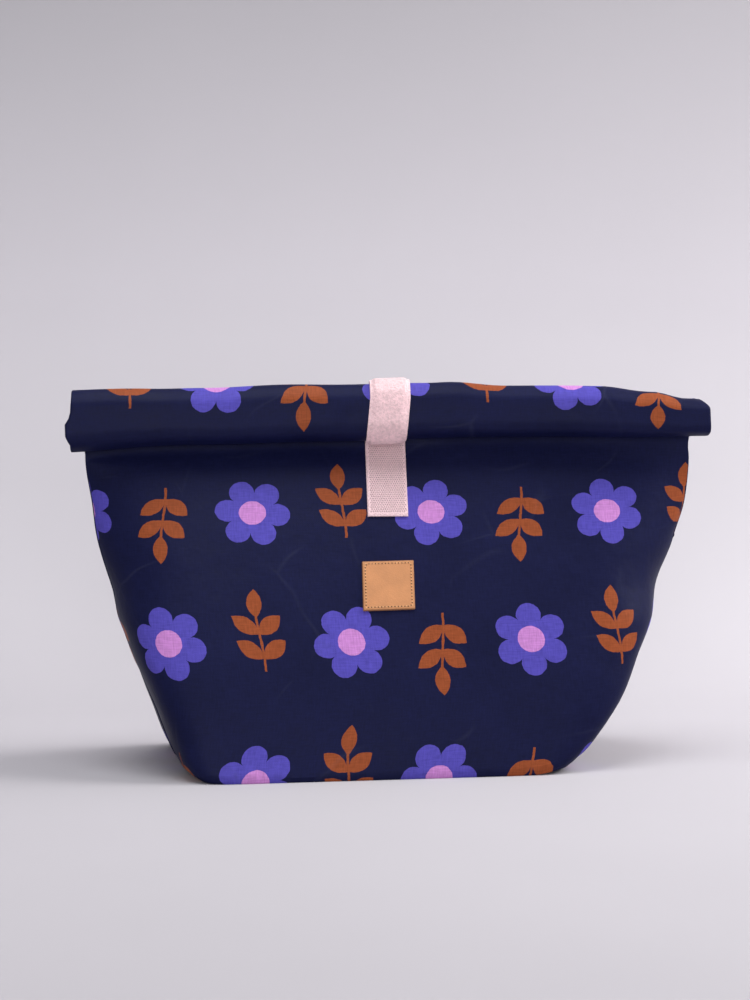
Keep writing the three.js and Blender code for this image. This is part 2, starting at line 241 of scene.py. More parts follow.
class Wall:
    """One wall of the bag as rows of points, with the print's coordinates."""

    def __init__(self, side, columns=113, rows=74):
        self.side = side
        self.heights = [CREASE_TOP * (i / (rows - 1)) for i in range(rows)]
        self.points = []
        self.across = []
        for z in self.heights:
            line, length = self.section(z, columns)
            self.points.append(line)
            self.across.append(length)
        middle = columns // 2
        self.up = [0.0]
        for below, above in zip(self.points, self.points[1:]):
            self.up.append(self.up[-1] + (above[middle] - below[middle]).length)
        self.normals = self.measure_normals()
        for j, normal in enumerate(self.normals[0]):
            self.points[0][j] -= Vector((normal.x, normal.y, 0)) * BASE_TUCK

    def section(self, z, columns):
        half = half_width(z)
        raw = []
        for k in range(SECTION_STEPS + 1):
            u = math.sin(lerp(-0.5, 0.5, k / SECTION_STEPS) * math.pi)
            spread = math.copysign(abs(u) ** 0.35, u)
            y = middle_y(z) + self.side * depth_at(spread, z)
            edge = LEFT_EDGE if spread < 0 else RIGHT_EDGE
            x = half * spread + along(edge, z) * spread * abs(spread)
            raw.append(Vector((x, y)))
        for k, point in enumerate(raw[1:-1], 1):
            ahead = (raw[k + 1] - raw[k - 1]).normalized()
            point += Vector((-ahead.y, ahead.x)) * self.side * dent(self.side, point.x, z)
        length = [0.0]
        for before, after in zip(raw, raw[1:]):
            length.append(length[-1] + (after - before).length)
        total = length[-1]
        line, spots = [], []
        k = 1
        for i in range(columns):
            s = total * i / (columns - 1)
            while k < SECTION_STEPS and length[k] < s:
                k += 1
            step = length[k] - length[k - 1]
            p = raw[k - 1].lerp(raw[k], (s - length[k - 1]) / step if step > 0 else 0.0)
            line.append(settle(Vector((p.x, p.y, z))))
            spots.append(s - length[SECTION_STEPS // 2])
        return line, spots

    def measure_normals(self):
        rows, columns = len(self.points), len(self.points[0])
        result = []
        for i in range(rows):
            row = []
            for j in range(columns):
                up = self.points[min(rows - 1, i + 1)][j] - self.points[max(0, i - 1)][j]
                over = self.points[i][min(columns - 1, j + 1)] - self.points[i][max(0, j - 1)]
                row.append((over.cross(up) * -self.side).normalized())
            result.append(row)
        return result

    def place(self, x, z, lift=0.0):
        """The point of the wall at x and z, lifted off it."""
        rows = len(self.heights)
        at = min(rows - 1.001, max(0.0, z / CREASE_TOP * (rows - 1)))
        i = int(at)
        found = []
        for row in (i, i + 1):
            line = self.points[row]
            low, high = 0, len(line) - 1
            while high - low > 1:
                middle = (low + high) // 2
                if line[middle].x <= x:
                    low = middle
                else:
                    high = middle
            t = (x - line[low].x) / max(1e-6, line[high].x - line[low].x)
            normal = self.normals[row][low].lerp(self.normals[row][high], t)
            found.append((line[low].lerp(line[high], t), normal))
        t = at - i
        point = found[0][0].lerp(found[1][0], t)
        normal = found[0][1].lerp(found[1][1], t).normalized()
        return point + normal * lift, normal

    def path(self, z):
        """The length of cloth from the floor up to a height."""
        at = min(len(self.up) - 1.001, max(0.0, z / CREASE_TOP * (len(self.up) - 1)))
        return lerp(self.up[int(at)], self.up[int(at) + 1], at - int(at))


walls = {}


def wall(side):
    """The front wall for -1 and the back wall for 1, measured once."""
    if side not in walls:
        walls[side] = Wall(side)
    return walls[side]


SHARP_ANGLE = math.radians(40)  # edges sharper than this are not smoothed


def add_object(name, data):
    obj = bpy.data.objects.new(name, data)
    bpy.context.scene.collection.objects.link(obj)
    return obj


def helper_object(name, points, edges, faces):
    """Bare points in millimetres, for what is laid along them or grows on them."""
    mesh = bpy.data.meshes.new(name)
    mesh.from_pydata([p * MM for p in points], edges, faces)
    return add_object(name, mesh)


def new_object(name, vertices, faces, uvs, material):
    """An object from points in millimetres, with the cloth's coordinates at every face corner."""
    mesh = bpy.data.meshes.new(name)
    mesh.from_pydata([v * MM for v in vertices], [], faces)
    layer = mesh.uv_layers.new(name="cloth")
    layer.data.foreach_set("uv", [c * MM for face in uvs for corner in face for c in corner])
    volume = 0.0
    for face in faces:
        a = vertices[face[0]]
        for b, c in zip(face[1:], face[2:]):
            volume += a.dot(vertices[b].cross(vertices[c]))
    if volume < 0:
        mesh.flip_normals()
    mesh.update()
    mesh.shade_smooth()
    mesh.set_sharp_from_angle(angle=SHARP_ANGLE)
    mesh.materials.append(material)
    return add_object(name, mesh)


def shell(name, outer, inner, uv, material, ring=False):
    """A closed sheet between two grids of points. ring joins each row's end to its start."""
    rows, columns = len(outer), len(outer[0])
    vertices = [p for row in outer for p in row] + [p for row in inner for p in row]
    faces, uvs = [], []

    def add(corners, column):
        faces.append([layer * rows * columns + i * columns + j % columns for layer, i, j in corners])
        uvs.append([uv(i, j, column) for _, i, j in corners])

    last = columns if ring else columns - 1
    for i in range(rows - 1):
        for j in range(last):
            add([(0, i, j), (0, i, j + 1), (0, i + 1, j + 1), (0, i + 1, j)], j)
            add([(1, i, j), (1, i + 1, j), (1, i + 1, j + 1), (1, i, j + 1)], j)
    for j in range(last):
        add([(0, 0, j), (1, 0, j), (1, 0, j + 1), (0, 0, j + 1)], j)
        add([(0, rows - 1, j), (0, rows - 1, j + 1), (1, rows - 1, j + 1), (1, rows - 1, j)], j)
    if not ring:
        for i in range(rows - 1):
            add([(0, i, 0), (0, i + 1, 0), (1, i + 1, 0), (1, i, 0)], 0)
            j = columns - 1
            add([(0, i, j), (1, i, j), (1, i + 1, j), (0, i + 1, j)], j - 1)
    return new_object(name, vertices, faces, uvs, material)


def ride(obj, body, slot, *nodes):
    """Puts a piece on its body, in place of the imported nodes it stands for."""
    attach(obj, body)
    if nodes:
        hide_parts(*nodes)
    return obj


def crease_shape(k):
    """The radius of a crease, and 1 or -1 for the side that the cloth comes to it from."""
    start, end = LAYER_Y[k], LAYER_Y[k + 1]
    return abs(start - end) / 2, 1 if start > end else -1


def bend(obj, crease, slot, *nodes, above=0.0):
    """Bakes a piece's place into its mesh and hides the imported nodes it stands for; it does not make it
    bend round the crease. above is its height over the middle of the cloth, and goes only into the ends of
    the bend, which are not used.
    """
    hinge = HINGES[crease]
    radius, toward = crease_shape(crease)
    reach = radius + above
    start = Vector((0, hinge.y + toward * reach, hinge.z)) * MM
    end = Vector((0, hinge.y - toward * reach, hinge.z)) * MM
    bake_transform(obj)
    if nodes:
        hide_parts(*nodes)
    return obj


class Value:
    """A number in a node tree, so that a sum of nodes is written as a sum."""

    def __init__(self, nodes, socket):
        self.nodes, self.socket = nodes, socket

    def __add__(self, other):
        return self.nodes.math("ADD", self, other)

    def __sub__(self, other):
        return self.nodes.math("SUBTRACT", self, other)

    def __rsub__(self, other):
        return self.nodes.math("SUBTRACT", other, self)

    def __mul__(self, other):
        return self.nodes.math("MULTIPLY", self, other)

    def __truediv__(self, other):
        return self.nodes.math("DIVIDE", self, other)

    def __rtruediv__(self, other):
        return self.nodes.math("DIVIDE", other, self)

    def scaled(self, factor, offset):
        return self.nodes.math("MULTIPLY_ADD", self, factor, offset)


class Nodes:
    """Adds nodes to a tree and links them in one line each."""

    def __init__(self, tree):
        self.tree = tree

    def link(self, start, end):
        self.tree.links.new(getattr(start, "socket", start), end)

    def add(self, kind, inputs=None, **settings):
        node = self.tree.nodes.new(kind)
        for key, value in settings.items():
            setattr(node, key, value)
        for key, value in (inputs or {}).items():
            if isinstance(value, (Value, bpy.types.NodeSocket)):
                self.link(value, node.inputs[key])
            else:
                node.inputs[key].default_value = value
        return node

    def make(self, kind, inputs=None, output=0, **settings):
        """Adds a node and gives one of its outputs."""
        return Value(self, self.add(kind, inputs, **settings).outputs[output])

    def ends(self):
        """The inputs of a group by name, and the sockets that its outputs go to."""
        given = {socket.name: Value(self, socket) for socket in self.add("NodeGroupInput").outputs}
        return given, self.add("NodeGroupOutput").inputs

    def math(self, operation, a, b=0.0, c=0.0, clamp=False):
        return self.make("ShaderNodeMath", {0: a, 1: b, 2: c}, operation=operation, use_clamp=clamp)

    def vector(self, operation, a, b, c=(0.0, 0.0, 0.0)):
        return self.make("ShaderNodeVectorMath", {0: a, 1: b, 2: c}, operation=operation)

    def parts(self, vector):
        return [Value(self, part) for part in self.add("ShaderNodeSeparateXYZ", {0: vector}).outputs]

    def mix(self, share, a, b, blend="MIX"):
        return self.make("ShaderNodeMix", {0: share, 6: a, 7: b}, 2, data_type="RGBA", blend_type=blend)

    def grey(self, tone):
        return self.make("ShaderNodeCombineColor", {0: tone, 1: tone, 2: tone})

    def noise(self, vector, scale, detail=2.0, roughness=0.5, output="Fac"):
        return self.make("ShaderNodeTexNoise", {"Vector": vector, "Scale": scale, "Detail": detail,
                                                "Roughness": roughness}, output)

    def stretch(self, vector, scale):
        return self.make("ShaderNodeMapping", {"Vector": vector, "Scale": scale})

    def edges(self, vector, scale):
        """The distance to the nearest border between random cells."""
        return self.make("ShaderNodeTexVoronoi", {"Vector": vector, "Scale": scale}, "Distance",
                         feature="DISTANCE_TO_EDGE")

    def spread(self, value, low, high, to_low=0.0, to_high=1.0):
        return self.make("ShaderNodeMapRange", {"Value": value, "From Min": low, "From Max": high,
                                                "To Min": to_low, "To Max": to_high})

    def group(self, name, build, vector, **numbers):
        """The outputs of a shared group by name. The group is built on its first use."""
        tree = bpy.data.node_groups.get(name) or build()
        node = self.add("ShaderNodeGroup", {"Vector": vector, **numbers}, node_tree=tree)
        return {socket.name: Value(self, socket) for socket in node.outputs}


def shader_group(name, numbers, outputs):
    """A shader group that takes a vector and named numbers, ready to be filled."""
    tree = bpy.data.node_groups.new(name, "ShaderNodeTree")
    tree.interface.new_socket("Vector", in_out="INPUT", socket_type="NodeSocketVector")
    for label, default in numbers.items():
        socket = tree.interface.new_socket(label, in_out="INPUT", socket_type="NodeSocketFloat")
        socket.default_value = default
    for label in outputs:
        tree.interface.new_socket(label, in_out="OUTPUT", socket_type="NodeSocketFloat")
    nodes = Nodes(tree)
    return tree, nodes, *nodes.ends()


PRINT_SHARPNESS = 9000.0  # how hard the edges of the print are
LEAF_LEAN = math.radians(38)


def flower_print():
    """Six-petalled flowers in staggered rows, with leafy sprigs between them."""
    tree, n, given, out = shader_group(
        "flower print", {"Width": 0.08, "Height": 0.062, "Flower Radius": 0.0185, "Leaf Length": 0.0148},
        ["Petals", "Middles", "Sprigs"])
    width, height, bloom, leaf_length = list(given.values())[1:5]
    wobble = n.noise(given["Vector"], 420.0, 1.0, output="Color")
    centred = n.vector("SUBTRACT", wobble, (0.5, 0.5, 0.5))
    moved = n.parts(n.vector("MULTIPLY_ADD", centred, (0.0007, 0.0007, 0.0), given["Vector"]))
    up = moved[1] / height + 0.5
    row = n.math("FLOOR", up)
    over = moved[0] / width + n.math("FLOORED_MODULO", row, 2.0).scaled(0.5, 0.25)
    column = n.math("FLOOR", over)
    y = (up - row - 0.5) * height
    x = (over - column - 0.5) * width

    def paint(distance, label):
        n.link(n.math("MULTIPLY_ADD", distance, PRINT_SHARPNESS, 0.5, clamp=True), out[label])

    radius = n.math("SQRT", x * x + y * y)
    angle = n.math("ARCTAN2", y, x) + row.scaled(0.9, column * 1.7)
    lobe = n.math("ABSOLUTE", n.math("COSINE", angle * 3.0))
    petal = n.math("POWER", lobe, 0.55).scaled(0.42, 0.58)
    paint(petal * bloom - radius, "Petals")
    paint(bloom * 0.36 - radius, "Middles")

    # The sprig stands half a repeat to the side, and every other one hangs upside down.
    beside = over + 0.5
    beside_column = n.math("FLOOR", beside)
    side = (beside - beside_column - 0.5) * width
    tall = y * n.math("FLOORED_MODULO", beside_column, 2.0).scaled(-2.0, 1.0) - 0.0045
    wide = n.math("ABSOLUTE", side + n.math("SINE", tall * 90.0) * 0.0016)
    spacing = leaf_length * 0.82
    step = n.math("FLOOR", (tall + 0.0012) / spacing)
    step = n.math("MAXIMUM", n.math("MINIMUM", step, 0.0), -1.0)
    rise = tall - step * spacing
    out_along = wide.scaled(math.cos(LEAF_LEAN), rise * math.sin(LEAF_LEAN))
    out_beside = rise.scaled(math.cos(LEAF_LEAN), wide * -math.sin(LEAF_LEAN))
    half = leaf_length * 0.5

    def leaf(lengthways, sideways, thick):
        share = (lengthways - half) / half
        return (1.0 - share * share) * (half * thick) - n.math("ABSOLUTE", sideways)

    pairs = leaf(out_along, out_beside, 0.54)
    tip = leaf(tall - leaf_length * 0.55, wide, 0.5)
    ends = n.math("MINIMUM", tall + leaf_length * 1.25, leaf_length * 0.7 - tall)
    stem = n.math("MINIMUM", 0.0006 - wide, ends)
    paint(n.math("MAXIMUM", pairs, n.math("MAXIMUM", tip, stem)), "Sprigs")
    return tree


def weave():
    """Threads over and under each other, with slubs along both ways."""
    tree, n, given, out = shader_group("weave", {"Pitch": 0.0005}, ["Height", "Tone"])
    place = n.parts(given["Vector"])
    turns = math.pi / given["Pitch"]
    crossing = n.math("SINE", place[0] * turns) * n.math("SINE", place[1] * turns)
    slub_up, slub_over = [n.noise(n.stretch(given["Vector"], scale), 1400.0)
                          for scale in ((1.0, 0.12, 1.0), (0.12, 1.0, 1.0))]
    slubs = slub_up + slub_over - 1.0
    n.link(crossing.scaled(0.35, slubs), out["Height"])
    n.link(slubs, out["Tone"])
    return tree


def sheen_and_handling():
    """Soft clouds and faint creases on coated cloth, from folding and use, and partly painted sheen where
    they lighten its colour.
    """
    tree, n, given, out = shader_group("handling marks", {"Crease Spacing": 0.05}, ["Clouds", "Creases"])
    place = given["Vector"]
    n.link(n.noise(place, 26.0, 4.0, 0.55).scaled(2.0, -1.0), out["Clouds"])
    bent = n.noise(place, 22.0, 1.0, output="Color")
    moved = n.vector("MULTIPLY_ADD", bent, (0.03, 0.03, 0.0), place)
    line = n.spread(n.edges(moved, 1.0 / given["Crease Spacing"]), 0.0, 0.022, 1.0, 0.0)
    patches = n.spread(n.noise(place, 34.0, 1.0), 0.5, 0.68)
    n.link(line * patches, out["Creases"])
    return tree


def new_material(name, where="UV"):
    """A material, a helper for its nodes, and the cloth's coordinates or the object's."""
    material = bpy.data.materials.new(name)
    material.use_nodes = True
    n = Nodes(material.node_tree)
    if where == "UV":
        return material, n, n.make("ShaderNodeUVMap", uv_map="cloth")
    return material, n, n.make("ShaderNodeTexCoord", output="Object")


def dress(material, n, colour, roughness, bump=None, **numbers):
    """Ends a material: colour, roughness, (height, strength, distance) of its bump, and plain numbers."""
    shader = n.tree.nodes["Principled BSDF"].inputs
    n.link(colour, shader["Base Color"])
    if isinstance(roughness, Value):
        n.link(roughness, shader["Roughness"])
    else:
        shader["Roughness"].default_value = roughness
    if bump:
        height, strength, distance = bump
        n.link(n.make("ShaderNodeBump", {"Height": height, "Strength": strength, "Distance": distance}),
               shader["Normal"])
    for label, value in numbers.items():
        shader[label.replace("_", " ")].default_value = value
    return material


def rgba(colour, factor=1.0):
    return (*(min(1.0, c * factor) for c in colour), 1.0)


def printed_cotton():
    material, n, place = new_material("printed coated cotton")
    printed = n.group("flower print", flower_print, place, Width=sizes().print_width,
                      Height=sizes().print_height)
    cloth = n.group("weave", weave, place, Pitch=0.00055)
    marks = n.group("handling marks", sheen_and_handling, place)
    c = colours()
    # The navy ground is painted lighter in soft clouds: partly wear of the coating, partly painted sheen on
    # it.
    ink = n.mix(n.spread(marks["Clouds"], -0.5, 0.6), rgba(c.navy, 0.42), rgba(c.navy, 0.6))
    for motif, colour in (("Sprigs", c.rust), ("Petals", c.violet), ("Middles", c.pink)):
        ink = n.mix(printed[motif], ink, rgba(colour))
    worn = n.mix(1.0, ink, n.grey(n.spread(cloth["Tone"], -0.35, 0.35, 0.8, 1.2)), "MULTIPLY")
    # Lighter grey-blue along faint crease lines: partly wear of the coating, partly painted sheen on it.
    crease_sheen_and_wear = n.mix(marks["Creases"] * 0.022, worn, rgba((0.32, 0.34, 0.45)))
    rough = cloth["Tone"].scaled(0.08, marks["Clouds"].scaled(0.1, 0.5))
    height = cloth["Height"].scaled(0.00003, marks["Creases"] * 0.00007)
    height = marks["Clouds"].scaled(0.0008, height)
    return dress(material, n, crease_sheen_and_wear, rough, (height, 0.8, 1.0), Specular_IOR_Level=0.07)


def lining_cloth():
    material, n, place = new_material("grey lining")
    cloth = n.group("weave", weave, place)
    c = colours().lining
    colour = n.mix(n.spread(cloth["Tone"], -0.4, 0.4), rgba(c, 0.9), rgba(c, 1.08))
    rough = n.spread(cloth["Tone"], -0.4, 0.4, 0.35, 0.5)
    return dress(material, n, colour, rough, (cloth["Height"], 0.5, 0.00003))


def hook_tape_cloth():
    material, n, place = new_material("woven hook tape")
    cloth = n.group("weave", weave, place, Pitch=0.0008)
    c = colours().hook
    border = n.spread(n.math("ABSOLUTE", n.parts(place)[0]), 0.0082, 0.0086)
    tone = n.spread(cloth["Height"], -0.5, 0.5)
    middle = n.mix(tone, rgba(c, 0.84), rgba(c, 1.02))
    selvedge = n.mix(tone, rgba(c, 0.95), rgba(c, 1.12))
    rough = n.spread(cloth["Tone"], -0.4, 0.4, 0.6, 0.8)
    return dress(material, n, n.mix(border, middle, selvedge), rough, (cloth["Height"], 0.8, 0.0002))


def loop_tape_cloth():
    material, n, place = new_material("fuzzy loop tape", "object")
    tufts = n.noise(place, 760.0, 3.0, 0.7)
    c = colours().loop
    shade = n.noise(place, 160.0).scaled(0.3, tufts * 0.7)
    colour = n.mix(n.spread(shade, 0.36, 0.64), rgba(c, 0.76), rgba(c, 1.1))
    rough = n.spread(tufts, 0.2, 0.8, 0.85, 1.0)
    return dress(material, n, colour, rough, (tufts, 0.9, 0.0006), Sheen_Weight=0.35, Sheen_Roughness=0.5,
                 Specular_IOR_Level=0.15)


def leather_hide():
    material, n, place = new_material("tan leather")
    grain = n.noise(place, 700.0, 4.0, 0.6)
    c = colours().leather
    tone = n.mix(n.spread(n.noise(place, 90.0, 3.0, 0.6), 0.3, 0.7), rgba(c, 0.88), rgba(c, 1.1))
    across, up, _ = n.parts(place)
    far = n.math("MAXIMUM", n.math("ABSOLUTE", across), n.math("ABSOLUTE", up))
    colour = n.mix(n.spread(far, 0.0119, 0.0126), tone, rgba(c, 0.5))
    height = n.spread(n.edges(place, 1100.0), 0.0, 0.25).scaled(0.4, grain)
    return dress(material, n, colour, n.spread(grain, 0.3, 0.7, 0.5, 0.68), (height, 0.7, 0.0001))


def thread_fibre(name, colour):
    material, n, place = new_material(name, "object")
    ply = n.noise(place, 2600.0)
    tone = n.mix(n.spread(ply, 0.3, 0.7), rgba(colour, 0.75), rgba(colour, 1.15))
    return dress(material, n, tone, n.spread(ply, 0.3, 0.7, 0.55, 0.75), (ply, 0.5, 0.0001))


MATERIALS = {
    "cotton": printed_cotton,
    "lining": lining_cloth,
    "hook": hook_tape_cloth,
    "loop": loop_tape_cloth,
    "leather": leather_hide,
    "patch thread": lambda: thread_fibre("patch thread", colours().thread),
    # The hooks are a darker copy of the hook tape's colour: painted shade for the shadow round each hook.
    "hooks": lambda: thread_fibre("nylon hooks with painted shade", [c * 0.6 for c in colours().hook]),
    "tape thread": lambda: thread_fibre("tape thread", colours().hook),
    # Near-black beads at the needle holes: painted shade of the holes.
    "needle hole shade": lambda: thread_fibre("needle hole shade", [c * 0.08 for c in colours().leather]),
}
made_materials = {}


def material(name):
    if name not in made_materials:
        made_materials[name] = MATERIALS[name]()
    return made_materials[name]


def node_tree(name, *labels):
    """An empty geometry tree with the named inputs, and a helper for its nodes."""
    kinds = {"Seed": "NodeSocketInt", "Material": "NodeSocketMaterial"}
    tree = bpy.data.node_groups.new(name, "GeometryNodeTree")
    tree.interface.new_socket("Geometry", in_out="INPUT", socket_type="NodeSocketGeometry")
    for label in labels:
        tree.interface.new_socket(label, in_out="INPUT", socket_type=kinds.get(label, "NodeSocketFloat"))
    tree.interface.new_socket("Geometry", in_out="OUTPUT", socket_type="NodeSocketGeometry")
    nodes = Nodes(tree)
    return tree, nodes, *nodes.ends()


def set_out(n, given, out, points, shape, turn, length):
    """Ends a tree: a shape at every point, made real and given the material."""
    size = n.make("ShaderNodeCombineXYZ", {0: given["Thickness"], 1: given["Thickness"], 2: length})
    laid = n.make("GeometryNodeInstanceOnPoints", {"Points": points, "Instance": shape, "Rotation": turn,
                                                   "Scale": size})
    real = n.make("GeometryNodeRealizeInstances", {"Geometry": laid})
    n.link(n.make("GeometryNodeSetMaterial", {"Geometry": real, "Material": given["Material"]}),
           out["Geometry"])


def lean_by(n, turn, most, seed):
    """A turn with a random lean added to it, by up to so much about each axis."""
    lean = n.make("FunctionNodeRandomValue", {"Min": [-angle for angle in most], "Max": most, "Seed": seed},
                  data_type="FLOAT_VECTOR")
    return n.make("FunctionNodeRotateRotation", {"Rotation": turn, "Rotate By": lean},
                  rotation_space="LOCAL")


def bead(n, segments, rings):
    return n.make("GeometryNodeMeshUVSphere", {"Segments": segments, "Rings": rings, "Radius": 0.5})


def stitch_tree():
    """Rounded stitches laid end to end along a path."""
    tree, n, given, out = node_tree("stitches", "Pitch", "Length", "Thickness", "Material")
    curve = n.make("GeometryNodeMeshToCurve", {"Mesh": given["Geometry"]})
    spots = n.make("GeometryNodeResampleCurve", {"Curve": curve, "Length": given["Pitch"]}, mode="LENGTH")
    turn = n.make("FunctionNodeAlignRotationToVector",
                  {"Vector": n.make("GeometryNodeInputTangent")}, axis="Z")
    set_out(n, given, out, spots, bead(n, 6, 5), turn, given["Length"])
    return tree


def fuzz_tree():
    """Short bent hairs scattered over a face, each leaning its own way."""
    tree, n, given, out = node_tree("fuzz", "Density", "Length", "Thickness", "Seed", "Material")
    spots = n.add("GeometryNodeDistributePointsOnFaces",
                  {"Mesh": given["Geometry"], "Density": given["Density"], "Seed": given["Seed"]})
    turn = lean_by(n, spots.outputs["Rotation"], (1.1, 1.1, 3.1), given["Seed"])
    hair = n.make("GeometryNodeMeshCone", {"Vertices": 3, "Radius Top": 0.35, "Radius Bottom": 1.0,
                                           "Depth": 1.0}, fill_type="NONE")
    size = n.make("FunctionNodeRandomValue", {2: 0.55, 3: 1.2, "Seed": given["Seed"]}, 1, data_type="FLOAT")
    set_out(n, given, out, spots.outputs["Points"], hair, turn, size * given["Length"])
    return tree


def peg_tree():
    """A small blunt hook at every point of a grid."""
    tree, n, given, out = node_tree("hooks", "Height", "Thickness", "Seed", "Material")
    facing = n.make("FunctionNodeAlignRotationToVector",
                    {"Vector": n.make("GeometryNodeInputNormal")}, axis="Z")
    turn = lean_by(n, facing, (0.35, 0.35, 3.1), given["Seed"])
    set_out(n, given, out, given["Geometry"], bead(n, 5, 4), turn, given["Height"])
    return tree


def grow(name, source, build, values):
    """Runs a geometry tree on a helper object and keeps the result as a plain mesh."""
    tree = bpy.data.node_groups.get(build[0]) or build[1]()
    modifier = source.modifiers.new("detail", "NODES")
    modifier.node_group = tree
    for item in tree.interface.items_tree:
        if item.item_type == "SOCKET" and item.in_out == "INPUT" and item.name in values:
            modifier[item.identifier] = values[item.name]
    source.update_tag()
    depsgraph = bpy.context.evaluated_depsgraph_get()
    mesh = bpy.data.meshes.new_from_object(source.evaluated_get(depsgraph))
    mesh.name = name
    source.modifiers.remove(modifier)
    bpy.data.objects.remove(source)
    return add_object(name, mesh)


def sew(name, points, thread, thickness=0.00055, pitch=None, share=0.74):
    """Stitches round a closed path. share is the part of each pitch that shows thread."""
    pitch = pitch or sizes().stitch_length
    count = len(points)
    path = helper_object("path", points, [(i, (i + 1) % count) for i in range(count)], [])
    return grow(name, path, ("stitches", stitch_tree),
                {"Pitch": pitch, "Length": pitch * share, "Thickness": thickness,
                 "Material": material(thread)})


def wall_grid(side, depth, first, top, step):
    """Rows of points of one wall, at a depth inside its outer face."""
    surface = wall(side)
    rows = [i for i in range(0, len(surface.heights), step) if top is None or surface.heights[i] <= top]
    columns = range(first, len(surface.points[0]) - first, step)
    grid = [[surface.points[i][j] - surface.normals[i][j] * depth for j in columns] for i in rows]
    for row in grid:
        for point in row:
            point.z = max(point.z, 0.0)
    return rows, columns, grid


BACK_PRINT = -27.0  # how far the back wall's print stands to the side of the front wall's


def make_wall(name, side, near, far, material_name, first=0, top=None, step=1):
    surface = wall(side)
    rows, columns, outer = wall_grid(side, near, first, top, step)
    inner = wall_grid(side, far, first, top, step)[2]

    def uv(i, j, _):
        return surface.across[rows[i]][columns[j]] + (BACK_PRINT if side > 0 else 0), surface.up[rows[i]]

    return shell(name, outer, inner, uv, material(material_name))


class LUNCHBAG_OT_walls(bpy.types.Operator):
    """Make the front and back walls of printed cotton"""

    bl_idname = "lunchbag.walls"
    bl_label = "Walls"

    def execute(self, context):
        ride(make_wall("front_wall", -1, 0.0, CLOTH, "cotton"), "bag", "coated_cotton", "outer_front_panel")
        ride(make_wall("back_wall", 1, 0.0, CLOTH, "cotton"), "bag", "coated_cotton", "outer_back_panel")
        return {"FINISHED"}


class LUNCHBAG_OT_side_seams(bpy.types.Operator):
    """Make the two side seams, which close the walls from the floor to the neck"""

    bl_idname = "lunchbag.side_seams"
    bl_label = "Side Seams"

    def execute(self, context):
        front, back = wall(-1), wall(1)
        ring = [math.radians(a) for a in range(-90, 91, 30)]
        for name, column, direction in (("left", 0, -1), ("right", -1, 1)):
            outer, inner = [], []
            for i, z in enumerate(front.heights):
                near, far = front.points[i][column], back.points[i][column]
                middle = (near + far) / 2
                reach = abs(far.y - near.y) / 2
                outer.append([Vector((middle.x + direction * 0.75 * math.cos(a) - direction * 0.2,
                                      middle.y + reach * math.sin(a), z)) for a in ring])
                inner.append([Vector((middle.x - direction, middle.y + reach * 0.8 * math.sin(a), z))
                              for a in ring])

            def uv(i, j, _, side=direction):
                return side * 400.0 + j * 0.6, front.up[i]

            seam = shell(f"{name}_side_seam_cloth", outer, inner, uv, material("cotton"))
            ride(seam, "bag", "coated_cotton", f"{name}_side_seam")
        return {"FINISHED"}


BASE_ROWS = 25
BASE_PRINT = -70  # where the base's print starts, past the walls'


def base_panel(name, low, high, depth, material_name):
    """A soft plate that closes the bag at the bottom, from front wall to back wall."""
    front, back = wall(-1), wall(1)
    count = len(front.points[0])
    grids = []
    for z in (low, high):
        rows = []
        for k in range(BASE_ROWS):
            t = k / (BASE_ROWS - 1)
            row = []
            for j in range(count):
                a = front.points[0][j] - front.normals[0][j] * depth
                b = back.points[0][j] - back.normals[0][j] * depth
                row.append(Vector((lerp(a.x, b.x, t), lerp(a.y, b.y, t), lerp(a.z, b.z, t) + z)))
            rows.append(row)
        grids.append(rows)

    def uv(i, j, _):
        p = grids[0][i][j]
        return p.x, -p.y + BASE_PRINT

    return shell(name, grids[0], grids[1], uv, material(material_name))


class LUNCHBAG_OT_base(bpy.types.Operator):
    """Make the base that the bag stands on"""

    bl_idname = "lunchbag.base"
    bl_label = "Base"

    def execute(self, context):
        base = base_panel("base_cloth", 0.0, CLOTH, CLOTH * 0.5, "cotton")
        ride(base, "bag", "coated_cotton", "outer_base_panel")
        return {"FINISHED"}


LINING_OUTSIDE, LINING_INSIDE = 1.2, 1.6  # depth of the lining's faces under the outer face of the cloth


class LUNCHBAG_OT_lining(bpy.types.Operator):
    """Make the lining, which follows the walls and the base inside the bag"""

    bl_idname = "lunchbag.lining"
    bl_label = "Lining"

    def execute(self, context):
        for side, word in ((-1, "front"), (1, "back")):
            piece = make_wall(f"{word}_lining", side, LINING_OUTSIDE, LINING_INSIDE, "lining",
                              first=2, top=LINING_TOP, step=2)
            ride(piece, "bag", "lining", f"lining_{word}_panel")
        base = base_panel("base_lining", LINING_OUTSIDE, LINING_INSIDE, 1.9, "lining")
        ride(base, "bag", "lining", "lining_base_panel")
        return {"FINISHED"}


# Heights of the roll's lower and upper edge, by place along it
ROLL_BOTTOM = ((-156, 153.4), (-90, 157.2), (-6, 158.7), (58, 160.7), (110, 160.2), (160, 160.4))
ROLL_TOP = ((-156, 184.2), (-116, 184.7), (-90, 185.6), (-40, 187.0), (20, 187.2), (35, 188.0), (60, 186.6),
            (108, 186.0), (134, 183.2), (152, 179.4), (162, 178.8))
EVEN_BOTTOM, EVEN_TOP = 158.7, 187.0
ROLL_BELLY = ((-7.5, 3.4), (-5.0, 0.0))  # how far the roll's face swells forward, by depth
BELLY_SHAPE = ((0.0, 0.35), (0.3, 1.0), (0.55, 0.72), (1.0, 0.0))  # the same, by height
DIMPLE_X, DIMPLE_HEIGHT, DIMPLE = -17, 0.35, 1.3  # where the roll's face sinks in a little, and how far


